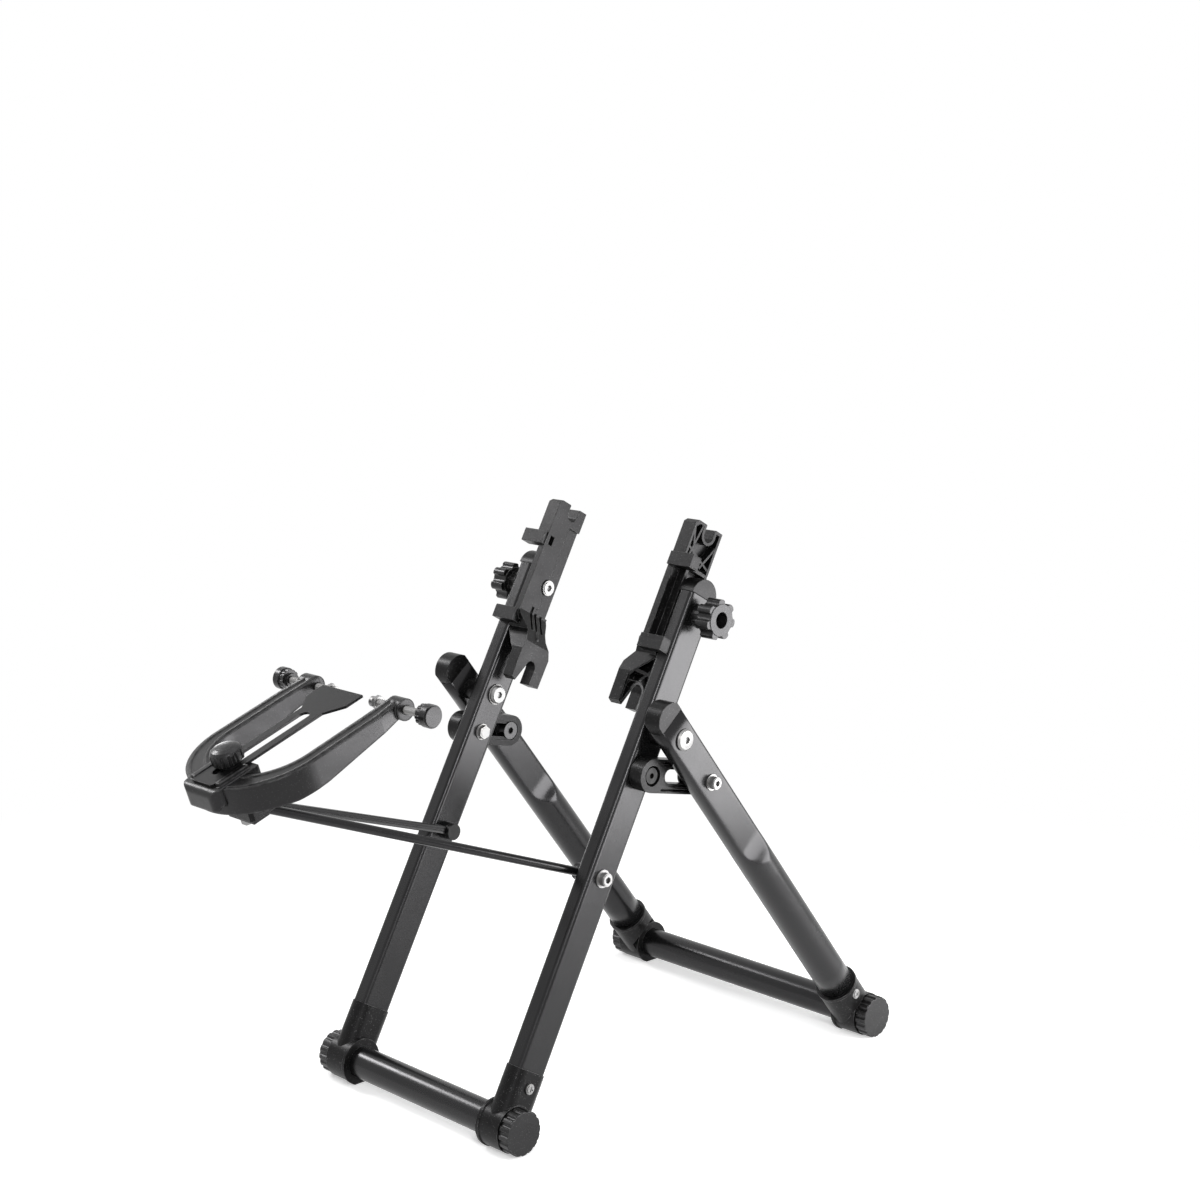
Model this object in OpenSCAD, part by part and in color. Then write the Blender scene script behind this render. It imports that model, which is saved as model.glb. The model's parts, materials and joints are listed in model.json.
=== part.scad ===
// Folding truing stand for bicycle wheels. Two leaning uprights carry the hub, two rear legs fold
// up against them, and a rim calliper swings up in front on a pair of converging rods.
// X runs across the stand, +Y towards the rear legs, +Z up, the floor is Z = 0.

/* [Main sizes] */
// height of the crossbars' axis above the floor
bar_z = 17.2; // [15:0.1:30]
// distance between the front and rear crossbar axes when open, set by the lean of the legs
upright_lean = 29.5; // [20:0.5:40]
// lean of the rear legs from vertical, in degrees
rear_lean = 38.5; // [25:0.5:50]
// distance along an upright from the crossbar axis to the folding pivot
pivot_along = 312; // [250:1:380]
// distance along an upright from the crossbar axis to the seam of its top cap
upright_len = 424; // [380:1:480]
// half distance between the uprights' centre planes
upright_x = 90.5; // [70:0.5:120]
// how far each rear leg's centre plane lies outside its upright's
leg_gap = 30; // [28:0.5:45]
// radius of the round lower half of a rear leg, whose upper half is pressed flat
leg_r = 14.8; // [12:0.1:18]

/* [Tubes] */
// tube size across the stand
tube_t = 15; // [12:0.5:25]
// tube size front to back
tube_w = 29; // [20:0.5:40]
// outer corner radius of the rectangular tube
tube_r = 3.6; // [2:0.1:6]
// wall of all tubes
wall = 1.5; // [1:0.1:3]
// crossbar radius
bar_r = 12.5; // [10:0.5:20]

/* [Feet] */
// radius of the fluted end knobs
knob_r = 17; // [15:0.1:25]
// width of an end knob along the crossbar
knob_w = 10; // [8:0.5:25]
// number of flutes round an end knob
knob_flutes = 16; // [8:1:20]
// reach of a front socket barrel inwards from its leg's centre plane
front_in = 13; // [10:0.5:20]
// reach of a front socket barrel outwards from its leg's centre plane
front_out = 10; // [8:0.5:20]
// reach of a rear socket barrel inwards from its leg's centre plane
rear_in = 9; // [4:0.5:20]
// reach of a rear socket barrel outwards from its leg's centre plane
rear_out = 15; // [8:0.5:20]
// socket barrel radius
barrel_r = 17.6; // [15:0.1:25]
// reach of a socket sleeve from the crossbar axis up its leg
sleeve_len = 43; // [30:1:60]
// reach of a rear socket's round sleeve from the crossbar axis
rear_sleeve = 37; // [25:1:50]
// wall of the socket sleeve round the tube
sleeve_wall = 2.3; // [1.5:0.1:4]

/* [Folding brace] */
// distance along an upright from the folding pivot down to the brace pivot
brace_drop = 33; // [25:1:50]
// distance down a rear leg from the folding pivot to the slot stud
stud_drop = 50; // [40:1:70]
// thickness of the slotted brace
brace_t = 12; // [8:0.5:15]
// radius of the brace's rounded ends
brace_r = 13; // [10:0.5:18]
// width of the brace slot
slot_w = 11; // [8:0.5:14]
// slot centre line start, measured from the brace pivot
slot_from = 21; // [19:0.5:25]

/* [Hub brackets] */
// distance along an upright to the bracket bolt
bracket_along = 409; // [380:1:440]
// panel thickness of a bracket
panel_t = 6; // [4:0.5:8]
// distance between a bracket's panel and its upright
panel_gap = 7; // [4:0.5:10]
// axle notch radius
notch_r = 5.6; // [5:0.1:7]

/* [Calliper] */
// distance along an upright to the calliper rods' pivot
rod_along = 194; // [150:1:230]
// rod radius
rod_r = 3.4; // [3:0.1:6]
// outer half width of the calliper's U
u_half = 58; // [50:0.5:70]
// inner half width of the calliper's U
u_in = 44; // [36:0.5:56]
// tilt of the calliper's top face, in degrees
cal_tilt = 19.5; // [0:0.5:30]
// feeler screw radius
feeler_r = 3; // [2:0.1:5]
// gap left between the two feeler pads
feeler_gap = 40; // [20:1:80]

/* [Node] */
// which piece to draw

/* [Hidden] */
$fn = 64;
eps = 0.01;
run = 0.05;
fit = 0.1;
leg_x = upright_x + leg_gap;
span_z = pivot_along * cos(upright_lean);
pivot_y = 0;
front_y0 = -pivot_along * sin(upright_lean);
rear_y0 = span_z * tan(rear_lean);
leg_along = span_z / cos(rear_lean);
leg_top = leg_along + 20.5;
cap_r = tube_w / 2;
up_in = upright_x - tube_t / 2;
up_out = upright_x + tube_t / 2;
leg_in = leg_x - tube_t / 2;
leg_out = leg_x + tube_t / 2;
tube_floor = bar_r + 2;
lip = 0.8;
rear_floor = 24;
sleeve_r = leg_r + sleeve_wall;
rear_screw_z = rear_sleeve - 8;
// the rear legs go from round to flat between these distances from the crossbar axis
round_to = 184;
flat_from = 224;
pivot_z = bar_z + span_z;
// calliper local origin: under the clamp knob, on the frame's top face
cal_y0 = front_y0 - 177;
cal_z = 303.9;
clamp_w = 2;
block_half = 20;
block_front = -30;
y_min = cal_y0 + (block_front + 5) * cos(cal_tilt) + 4 * sin(cal_tilt) - 5;
y_max = rear_y0 + barrel_r + lip;
// everything is shifted so that the origin is under the middle of the whole stand
y_shift = -(y_min + y_max) / 2;
front_y = front_y0 + y_shift;
rear_y = rear_y0 + y_shift;
cal_y = cal_y0 + y_shift;

black = [0.07, 0.07, 0.075];
plastic = [0.1, 0.1, 0.105];
zinc = [0.8, 0.8, 0.82];

// ---- helpers ----
module side(s) {
    if (s > 0)
        children();
    else
        mirror([1, 0, 0]) children();
}

module on_upright(s) {
    translate([0, front_y, bar_z])
        rotate([-upright_lean, 0, 0])
            translate([0, 0, s]) children();
}

module on_leg(s) {
    translate([0, rear_y, bar_z])
        rotate([rear_lean, 0, 0])
            translate([0, 0, s]) children();
}

module on_cal() {
    translate([0, cal_y, cal_z])
        rotate([cal_tilt, 0, 0]) children();
}

// cylinder lying along X from x0 to x1
module xcyl(x0, x1, r) {
    translate([x0, 0, 0])
        rotate([0, 90, 0]) cylinder(h = x1 - x0, r = r);
}

module xring(x0, x1, r, ri) {
    difference() {
        xcyl(x0, x1, r);
        xcyl(x0 - 1, x1 + 1, ri);
    }
}

// six sided head or nut along X
module xhex(x0, x1, af) {
    translate([x0, 0, 0])
        rotate([0, 90, 0]) cylinder(h = x1 - x0, r = af / sqrt(3), $fn = 6);
}

module rrect(x, y, r) {
    square([x - 2 * r, y], center = true);
    square([x, y - 2 * r], center = true);
    for (i = [-1, 1])
        for (j = [-1, 1])
            translate([i * (x / 2 - r), j * (y / 2 - r)]) circle(r = r);
}

module tube_bar(z0, z1) {
    difference() {
        translate([0, 0, z0])
            linear_extrude(height = z1 - z0) rrect(tube_t, tube_w, tube_r);
        translate([0, 0, z0 - 1])
            linear_extrude(height = z1 - z0 + 2)
                rrect(tube_t - 2 * wall, tube_w - 2 * wall, tube_r - wall);
    }
}

// rounded top cap of a tube, its shoulder resting on the tube's cut end
module tube_cap(seam) {
    plug_x = tube_t - 2 * wall - 2 * fit;
    plug_y = tube_w - 2 * wall - 3.6;
    translate([0, 0, seam]) {
        intersection() {
            xcyl(-tube_t / 2, tube_t / 2, cap_r);
            translate([-tube_t, -tube_w, 0]) cube([2 * tube_t, 2 * tube_w, tube_w]);
            linear_extrude(height = tube_w) children();
        }
        difference() {
            translate([-plug_x / 2, -plug_y / 2, -9]) cube([plug_x, plug_y, 9]);
            translate([-plug_x / 2 + 1.6, -plug_y / 2 + 1.6, -10])
                cube([plug_x - 3.2, plug_y - 3.2, 8.5]);
        }
    }
}

// ---- feet ----
// barrel of a foot socket on its crossbar, its underside cut flat to stand on the floor
module barrel(x0, x1) {
    difference() {
        union() {
            xcyl(x0, x1, barrel_r);
            xcyl(x0, x0 + 2.4, barrel_r + lip);
        }
        translate([x0 - 1, -barrel_r, -bar_z - 5]) cube([x1 - x0 + 2, 2 * barrel_r, 5]);
    }
}

// front foot socket, its rectangular sleeve along the leaning upright
module front_socket() {
    x0 = upright_x - front_in;
    x1 = upright_x + front_out;
    out_x = tube_t + 2 * sleeve_wall;
    out_y = tube_w + 2 * sleeve_wall;
    translate([0, front_y, bar_z])
        difference() {
            union() {
                barrel(x0, x1);
                rotate([-upright_lean, 0, 0])
                    translate([upright_x, 0, 0])
                        linear_extrude(height = sleeve_len)
                            rrect(out_x, out_y, out_x / 2 - 0.4);
            }
            xcyl(x0 - 1, x1 + 1, bar_r + run);
            rotate([-upright_lean, 0, 0])
                translate([upright_x, 0, tube_floor])
                    linear_extrude(height = sleeve_len)
                        rrect(tube_t + 2 * fit, tube_w + 2 * fit, tube_r);
            rotate([-upright_lean, 0, 0])
                translate([0, 0, 31]) xcyl(upright_x, upright_x + 20, 2.1);
        }
}

// rear foot socket, its round sleeve along the rear leg
module rear_socket() {
    x0 = leg_x - rear_in;
    x1 = leg_x + rear_out;
    cheek_x = x0 + 2.4 + lip;
    translate([0, rear_y, bar_z])
        difference() {
            union() {
                barrel(x0, x1);
                rotate([rear_lean, 0, 0])
                    difference() {
                        translate([leg_x, 0, 0]) {
                            cylinder(h = rear_sleeve, r = sleeve_r);
                            translate([0, 0, rear_sleeve - 2.5])
                                cylinder(h = 2.5, r = sleeve_r + 0.6);
                        }
                        // inner cheek, slanted back so that the barrel's lip stands clear
                        translate([0, 2 * sleeve_r, 0])
                            rotate([90, 0, 0])
                                linear_extrude(height = 4 * sleeve_r)
                                    polygon([[leg_x - 2 * sleeve_r, -1], [cheek_x, -1], [cheek_x, 15],
                                        [leg_x - sleeve_r - 0.8, 26], [leg_x - 2 * sleeve_r, 26]]);
                    }
            }
            xcyl(leg_x - 20, leg_x + 20, bar_r + run);
            // the sleeve is cut back round the end knob
            xcyl(x1, x1 + 12, knob_r + 0.6);
            rotate([rear_lean, 0, 0])
                translate([leg_x, 0, rear_floor]) cylinder(h = rear_sleeve, r = leg_r + fit);
            // bore and flat seat of the screw
            rotate([rear_lean, 0, 0])
                translate([0, 0, rear_screw_z]) {
                    xcyl(leg_x, leg_x + 20, 2.1);
                    xcyl(leg_x + sleeve_r - 0.5, leg_x + 40, 4.4);
                }
        }
}

// pan head screw through the outer side of a sleeve into the tube wall
module foot_screw(face, into, y0, tilt, along) {
    translate([0, y0, bar_z])
        rotate([tilt, 0, 0])
            translate([0, 0, along])
                difference() {
                    union() {
                        xcyl(face, face + 1.4, 4);
                        xcyl(face + 1.4 - eps, face + 2.2, 3);
                        xcyl(into, face + eps, 2);
                    }
                    translate([face + 1.2, -2.2, -0.45]) cube([2, 4.4, 0.9]);
                    translate([face + 1.2, -0.45, -2.2]) cube([2, 0.9, 4.4]);
                }
}

module front_screw() {
    face = upright_x + tube_t / 2 + sleeve_wall;
    foot_screw(face, up_out + 0.05, front_y, -upright_lean, 31);
}

module rear_screw() {
    foot_screw(leg_x + sleeve_r - 0.5, leg_x + leg_r + 0.15, rear_y, rear_lean, rear_screw_z);
}

module crossbar(half, y0) {
    translate([0, y0, bar_z])
        difference() {
            xcyl(-half, half, bar_r);
            xcyl(-half - 1, half + 1, bar_r - wall);
        }
}

// fluted knob closing a crossbar end, its plug running in the tube's bore
module end_knob(x_end, y0) {
    x0 = x_end + 0.4;
    translate([x0, y0, bar_z])
        rotate([0, 90, 0])
            difference() {
                rotate_extrude()
                    polygon([[0, -12], [bar_r - wall - run - 1, -12], [bar_r - wall - run, -11],
                        [bar_r - wall - run, 0], [knob_r - 0.8, 0], [knob_r, 0.8],
                        [knob_r, knob_w - 0.7], [knob_r - 0.7, knob_w], [0, knob_w]]);
                for (i = [0:knob_flutes - 1])
                    rotate([0, 0, (i + 0.5) * 360 / knob_flutes])
                        translate([knob_r + 1, 0, -1]) cylinder(h = knob_w + 2, r = 2.2, $fn = 32);
            }
}

// ---- uprights and rear legs ----
module upright() {
    on_upright(0)
        difference() {
            translate([upright_x, 0, 0]) tube_bar(tube_floor, upright_len);
            translate([0, 0, pivot_along]) xcyl(up_in - 1, up_out + 1, 5 + fit);
            translate([0, 0, pivot_along - brace_drop]) xcyl(up_in - 1, up_out + 1, 4 + fit);
            translate([0, 0, rod_along]) xcyl(up_in - 1, up_out + 1, 4 + fit);
            translate([0, 0, bracket_along]) xcyl(up_in - 1, up_out + 1, 4 + fit);
        }
}

// section of the pressed upper half of a rear leg, g inside its outer surface
module leg_section(g) {
    intersection() {
        circle(r = leg_r - g);
        square([tube_t - 2 * g, 4 * leg_r], center = true);
    }
}

// round tube pressed flat between two slanting planes, g inside its outer surface
module leg_solid(z0, z1, g) {
    wide = leg_r + 2 - g;
    flat = tube_t / 2 - g;
    intersection() {
        translate([0, 0, z0]) cylinder(h = z1 - z0, r = leg_r - g);
        translate([0, 2 * leg_r, 0])
            rotate([90, 0, 0])
                linear_extrude(height = 4 * leg_r)
                    polygon([[-wide, z0 - 1], [wide, z0 - 1], [wide, round_to], [flat, flat_from],
                        [flat, z1 + 1], [-flat, z1 + 1], [-flat, flat_from], [-wide, round_to]]);
    }
}

module rear_leg() {
    on_leg(0)
        difference() {
            translate([leg_x, 0, 0])
                difference() {
                    leg_solid(rear_floor, leg_top, 0);
                    leg_solid(rear_floor - 1, leg_top + 1, wall);
                }
            translate([0, 0, leg_along]) xcyl(leg_in - 1, leg_out + 1, 5 + run);
            translate([0, 0, leg_along - stud_drop]) xcyl(leg_in - 1, leg_out + 1, 3 + fit);
        }
}

// ---- folding pivot ----
module pivot_bolt() {
    on_upright(pivot_along)
        difference() {
            union() {
                xcyl(up_in - 3, leg_out + 0.8, 5);
                translate([leg_out + 0.4, 0, 0])
                    rotate([0, 90, 0])
                        rotate_extrude()
                            polygon([[0, 0], [8.6, 0], [8.6, 1.2], [7.2, 2.6], [4, 3.2], [0, 3.2]]);
                xcyl(up_in - 1.2, up_in, 8.4);
                translate([up_in - 1.2 + eps, 0, 0])
                    rotate([0, -90, 0])
                        rotate_extrude()
                            polygon([[0, 0], [7.6, 0], [7.6, 1.2], [6.4, 3.4], [0, 3.4]]);
            }
            xhex(leg_out + 1.6, leg_out + 5, 5);
            xhex(up_in - 6, up_in - 2.6, 5);
        }
}

module pivot_spacer() {
    on_upright(pivot_along)
        xring(up_out, leg_in - 0.3, 9, 5 + fit);
}

// ---- slotted brace between upright and rear leg ----
// brace local frame: origin on its pivot, local +Y along the slot
brace_dy = stud_drop * sin(rear_lean) + brace_drop * sin(upright_lean);
brace_dz = -stud_drop * cos(rear_lean) + brace_drop * cos(upright_lean);
brace_ang = atan2(brace_dz, brace_dy);
brace_len = sqrt(brace_dy * brace_dy + brace_dz * brace_dz);
brace_x0 = up_out + 0.8;

module on_brace() {
    translate([0, front_y + (pivot_along - brace_drop) * sin(upright_lean),
        bar_z + (pivot_along - brace_drop) * cos(upright_lean)])
        rotate([brace_ang, 0, 0]) children();
}

module slot_cut(x0, x1, w) {
    translate([0, slot_from, 0]) xcyl(x0, x1, w / 2);
    translate([0, brace_len, 0]) xcyl(x0, x1, w / 2);
    translate([x0, slot_from, -w / 2]) cube([x1 - x0, brace_len - slot_from, w]);
}

module brace() {
    x1 = brace_x0 + brace_t;
    on_brace()
        difference() {
            union() {
                xcyl(brace_x0, x1, brace_r);
                xcyl(brace_x0 - 0.5, brace_x0 + eps, 7);
                translate([0, brace_len, 0]) xcyl(brace_x0, x1, brace_r);
                translate([brace_x0, 0, -brace_r]) cube([brace_t, brace_len, 2 * brace_r]);
            }
            xcyl(brace_x0 - 2, x1 + 1, 4 + run);
            // counterbore that takes the bolt head, with its raised ring
            difference() {
                xcyl(x1 - 6.5, x1 + 1, 8);
                xcyl(x1 - 6.6, x1 - 4.5, 6);
            }
            xcyl(x1 - 4.6, x1 + 1, 8);
            slot_cut(brace_x0 - 1, x1 + 1, slot_w);
            // shallow step round the slot on both faces
            slot_cut(x1 - 1.6, x1 + 1, slot_w + 5);
            slot_cut(brace_x0 - 1, brace_x0 + 1.6, slot_w + 5);
            // lightening pockets beside the boss
            for (j = [-1, 1])
                translate([x1 - 5, 11.2, j * 10.4 - 0.9]) cube([6, brace_len - 14, 1.8]);
        }
}

module brace_bolt() {
    x1 = brace_x0 + brace_t;
    on_brace()
        difference() {
            union() {
                xcyl(up_in - 4.5, x1 - 4.4, 4);
                xcyl(x1 - 4.5, x1 - 1, 6.3);
                xcyl(up_in - 1, up_in, 6.6);
                xhex(up_in - 4.3, up_in - 0.9, 10);
            }
            xhex(x1 - 3.2, x1 + 1, 4);
        }
}

// stud through the rear leg; its inner end stops short of the brace
module slot_stud() {
    on_leg(leg_along - stud_drop)
        difference() {
            union() {
                xcyl(leg_in - 0.9, leg_out + 3, 3);
                xcyl(leg_out, leg_out + 1, 6.4);
                xcyl(leg_out + 1 - eps, leg_out + 6.5, 4.9);
                xcyl(leg_in - 0.9, leg_in, 5);
            }
            xhex(leg_out + 3.5, leg_out + 8, 4);
            xring(leg_out + 5.9, leg_out + 8, 7, 4.3);
        }
}

// flanged bush that slides in the brace slot
module slot_bush() {
    on_brace()
        translate([0, brace_len, 0])
            difference() {
                union() {
                    xcyl(brace_x0 + 1.0, brace_x0 + brace_t - 1.0, slot_w / 2 - run);
                    xcyl(brace_x0 + 0.2, brace_x0 + 1.5, slot_w / 2 + 1.9);
                    xcyl(brace_x0 + brace_t - 1.5, brace_x0 + brace_t - 0.2, slot_w / 2 + 1.9);
                }
                xhex(brace_x0 - 1, brace_x0 + 3.5, 5);
            }
}

// ---- hub brackets ----
in_x = up_in - panel_gap - panel_t;
mid_x = up_in - panel_gap;
axle_v = -2.5;
axle_u = 65;
low_v = -1;
low_u = -69.5;
hook_x = 55;

// outline seen from the side: first number towards the rear, second up the upright
module bracket_outline(g) {
    difference() {
        polygon([[-21.5 + g, -30 + g], [-21.5 + g, 69 - g], [-18.5 + g, 72 - g], [axle_v - 6.3, 72 - g],
            [axle_v, 66 - g], [axle_v + 6.3, 72 - g], [12 - g, 72 - g], [12 - g, -29 + g],
            [9.5 - g, -38 + g], [9.5 - g, -44 + g], [16 - g, -57 + g], [15.5 - g, -82 + g],
            [5 + g, -82.5 + g], [-12.5 - g, -84 + g], [-17 + g, -82 + g],
            [-17.5 + g, -57 + g], [-13 + g, -40 + g]]);
        // upper axle notch
        translate([axle_v, axle_u]) circle(r = notch_r + g);
        translate([axle_v - notch_r - g, axle_u]) square([2 * (notch_r + g), 20]);
        // lower axle notch, its mouth flared to the front
        translate([low_v, low_u]) circle(r = notch_r + g);
        polygon([[low_v + notch_r + g, low_u], [low_v - notch_r - g, low_u],
            [low_v - notch_r - 7 - g, low_u - 17], [low_v + notch_r + g, low_u - 17]]);
    }
}

module outline_solid(x0, x1, g) {
    translate([x0, 0, 0])
        rotate([90, 0, 90])
            linear_extrude(height = x1 - x0) bracket_outline(g);
}

// profile across the stand: first number X, second up the upright
module bracket_profile(g) {
    polygon([[in_x - g, 80], [in_x - g, -26], [hook_x - g, -50], [hook_x - g, -90],
        [hook_x + 11, -90], [hook_x + 11, -60], [up_in, -42], [up_in, 80]]);
}

module profile_solid(v0, v1, g) {
    translate([0, v1, 0])
        rotate([90, 0, 0])
            linear_extrude(height = v1 - v0) bracket_profile(g);
}

module rib(p, q, t, x0, x1) {
    len = norm(q - p);
    ang = atan2(q[1] - p[1], q[0] - p[0]);
    translate([x0, p[0], p[1]])
        rotate([ang, 0, 0])
            translate([0, 0, -t / 2]) cube([x1 - x0, len, t]);
}

module hub_bracket() {
    on_upright(bracket_along)
        difference() {
            union() {
                // skin facing the hub
                intersection() {
                    outline_solid(hook_x - 5, up_in - 0.1, 0);
                    profile_solid(-40, 40, 0);
                    union() {
                        translate([in_x - 5, -40, -40]) cube([panel_t + 5, 80, 140]);
                        // skin of the slanted neck and of the hook
                        translate([0, 40, 0])
                            rotate([90, 0, 0])
                                linear_extrude(height = 80)
                                    polygon([[in_x - 1, -24], [mid_x, -24], [mid_x, -30],
                                        [hook_x + 5, -52], [hook_x + 5, -90],
                                        [hook_x - 2, -90], [hook_x - 2, -48]]);
                    }
                }
                // rim walls of the top block and of the neck and hook
                intersection() {
                    profile_solid(-40, 40, 0);
                    difference() {
                        outline_solid(hook_x - 5, up_in, 0);
                        outline_solid(hook_x - 6, up_in + 1, 2.4);
                    }
                    union() {
                        translate([0, -40, 36]) cube([200, 80, 60]);
                        translate([0, -40, -100]) cube([200, 80, 66]);
                    }
                }
                // rails and bolt boss bearing on the upright
                for (v = [-13.5, 9.1])
                    translate([mid_x - eps, v, -28]) cube([panel_gap + eps, 3, 62]);
                xcyl(mid_x - eps, up_in, 8.2);
                translate([mid_x - eps, -14, 33.5]) cube([panel_gap - 0.2, 26, 2.6]);
                translate([mid_x - eps, -13.5, -34]) cube([panel_gap - 0.5, 22.5, 2.6]);
                // crossing ribs of the top block
                intersection() {
                    outline_solid(mid_x - 0.7, up_in - 0.5, 0.4);
                    union() {
                        rib([-21, 69], [-9, 38], 1.8, mid_x - 1, up_in);
                        rib([-11, 71.5], [-17, 38], 1.8, mid_x - 1, up_in);
                        rib([-20, 50], [11, 39.5], 1.8, mid_x - 1, up_in);
                        rib([0, 38], [11, 60], 1.8, mid_x - 1, up_in);
                    }
                }
                // neck rib that carries the hook
                intersection() {
                    profile_solid(-40, 40, 0.9);
                    outline_solid(hook_x + 2, up_in - 0.8, 0.5);
                    union() {
                        rib([-2, -34], [-2, -61], 2.4, hook_x, up_in);
                        rib([-17, -55], [16, -53.5], 2.4, hook_x, up_in);
                    }
                }
                // tabs that clasp the front of the upright
                for (u = [31, -38]) {
                    translate([in_x + 1, -24.5, u]) cube([up_out - in_x - 4, 9.9, 11]);
                    translate([up_out - 4, -24.5, u + 1]) cube([1.2, 9.9, 9]);
                }
            }
            xcyl(in_x - 1, up_in + 1, 4 + fit);
            // recessed rear strip of the panel with the bolt head's seat
            translate([in_x - 1, -1, -24]) cube([3.4, 20, 78]);
            xcyl(in_x - 1, in_x + 2.4, 7.4);
            // windows behind the tabs
            for (u = [32.5, -36.5])
                translate([in_x - 1, -17.6, u]) cube([9, 4.6, 8]);
            for (u = [32.5, -36.5])
                translate([mid_x + 1.5, -22.8, u + 1]) cube([up_out - mid_x - 6, 6.4, 6]);
            // deep slots running down into the neck
            for (v = [-9, -3.6, 3])
                translate([hook_x - 1, v, -39]) cube([in_x - hook_x + 2.8, 2.8, 19]);
        }
}

module bracket_bolt() {
    head = in_x + 2.4;
    on_upright(bracket_along)
        difference() {
            union() {
                xcyl(head - eps, up_out + 15.8, 4);
                xcyl(head - 3.6, head, 6.4);
                xcyl(head - 4.4, head - 3.6 + eps, 5.4);
            }
            xhex(head - 6, head - 2, 5);
        }
}

module star_knob() {
    x0 = up_out + 0.3;
    on_upright(bracket_along)
        difference() {
            union() {
                xcyl(x0, x0 + 13, 8.2);
                for (i = [0:7])
                    rotate([i * 45, 0, 0])
                        translate([x0 + 2.5, -1.1, 0]) cube([9, 2.2, 9.6]);
                xcyl(x0 + 11, x0 + 25, 12.6);
                for (i = [0:6])
                    rotate([i * 360 / 7 + 12, 0, 0])
                        translate([0, 11.4, 0]) xcyl(x0 + 11.6, x0 + 24.4, 4.7);
            }
            xcyl(x0 - 1, x0 + 14, 4 + run);
            xcyl(x0 + 13.9, x0 + 26, 6.4);
            // scallops between the lobes
            for (i = [0:6])
                rotate([(i + 0.5) * 360 / 7 + 12, 0, 0])
                    translate([0, 16.2, 0]) xcyl(x0 + 10, x0 + 26, 3.9);
        }
}

// ---- calliper ----
rod_eye_x = up_in - 8.5;
rod_pv_y = front_y + rod_along * sin(upright_lean);
rod_pv_z = bar_z + rod_along * cos(upright_lean);
rod_end = [11.5, 4, -30.5];
rod_end_y = cal_y + rod_end[1] * cos(cal_tilt) - rod_end[2] * sin(cal_tilt);
rod_end_z = cal_z + rod_end[1] * sin(cal_tilt) + rod_end[2] * cos(cal_tilt);
boss_w = 122.5;
boss_n = -7;
frame_t = 3;
// centre lines of the U's outer and inner bends, and the ends of its arms
bend_out = u_half - 25;
bend_in = u_in - 6;
arm_end = boss_w - 0.5;
arm_bend = boss_w - 26.5;
reach = 4 * u_half;
frame_drop = 20.5;
// inner end of a feeler's knob at rest
knob_x = u_half + 19;

// straight round rod from the eye at the upright to the block under the calliper
module arm_rod() {
    a = [rod_eye_x + 4, rod_pv_y, rod_pv_z];
    b = [rod_end[0], rod_end_y, rod_end_z];
    d = b - a;
    len = norm(d);
    difference() {
        union() {
            translate(a)
                rotate([0, acos(d[2] / len), atan2(d[1], d[0])])
                    cylinder(h = len, r = rod_r);
            translate([0, a[1], a[2]]) xcyl(rod_eye_x, rod_eye_x + 8, 7);
        }
        translate([0, a[1], a[2]]) xcyl(rod_eye_x - 1, rod_eye_x + 9, 4 + run);
        // inner cheek of the eye milled flat, so the rod's slanted root clears the bolt head
        translate([0, a[1], a[2]]) xcyl(rod_eye_x - 8, rod_eye_x, 9);
    }
}

module arm_bolt() {
    translate([0, rod_pv_y, rod_pv_z])
        difference() {
            union() {
                xcyl(rod_eye_x - 3, up_out + 3, 4);
                xcyl(rod_eye_x - 3.4, rod_eye_x - 0.3, 6.6);
                xcyl(up_out, up_out + 1, 7);
                xcyl(up_out + 1 - eps, up_out + 6.2, 5.2);
                xcyl(rod_eye_x + 8.2, up_in, 6.4);
            }
            xhex(up_out + 3, up_out + 8, 4.6);
            xring(up_out + 5.5, up_out + 8, 7, 4.5);
        }
}

// plan outline of the U, shrunk by g all round
module u_plan(g) {
    difference() {
        union() {
            intersection() {
                translate([0, bend_out]) circle(r = u_half - g, $fn = 128);
                translate([-reach / 2, -reach + bend_out]) square(reach);
            }
            polygon([[-u_half + g, bend_out - 0.1], [-u_half + g, arm_bend],
                [-u_half + 3 + g, arm_end - g], [u_half - 3 - g, arm_end - g],
                [u_half - g, arm_bend], [u_half - g, bend_out - 0.1]]);
        }
        intersection() {
            translate([0, bend_in]) circle(r = u_in + g, $fn = 128);
            translate([-reach / 2, -reach + bend_in]) square(reach);
        }
        polygon([[-u_in - g, bend_in - 0.1], [-u_in - g, arm_bend - 6], [-u_in + 1.5 - g, arm_end + 18],
            [u_in - 1.5 + g, arm_end + 18], [u_in + g, arm_bend - 6], [u_in + g, bend_in - 0.1]]);
    }
}

// side profile of the frame: along the arm and down from the top face
module frame_side(g) {
    polygon([[-u_half, -g], [arm_end + 18, -g], [arm_end + 18, -11 + g], [arm_end - 4, -11 + g],
        [arm_bend - 16, -15.5 + g], [bend_in + 2, -20.5 + g], [14, -frame_drop - 1 + g],
        [0, -frame_drop + g], [-u_half, -frame_drop + g]]);
}

module frame_solid(g, h) {
    intersection() {
        translate([0, 0, -u_half]) linear_extrude(height = 2 * u_half) u_plan(g);
        translate([-reach / 2, 0, 0])
            rotate([90, 0, 90]) linear_extrude(height = reach) frame_side(h);
    }
}

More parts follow.
